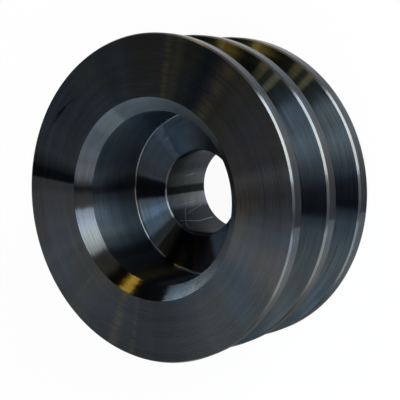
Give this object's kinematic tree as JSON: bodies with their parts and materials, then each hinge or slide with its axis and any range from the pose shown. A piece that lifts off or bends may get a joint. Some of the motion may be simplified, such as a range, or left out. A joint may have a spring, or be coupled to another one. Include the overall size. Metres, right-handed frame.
{
  "type": "alternator pulley",
  "caption": "Dark turned steel V-belt pulley with a deep counterbore for the shaft nut and a plain through bore.",
  "frame": {"origin": "centre of the hub's back end face, on the bore axis, where the pulley stands", "axes": "+Z along the bore axis, from the alternator side towards the nut side"},
  "size_m": [0.062, 0.062, 0.03],
  "materials": {
    "turned_steel": "fine turned bare steel under a dark film"
  },
  "bodies": {
    "root": {"pulley": "turned_steel"}
  },
  "joints": []
}
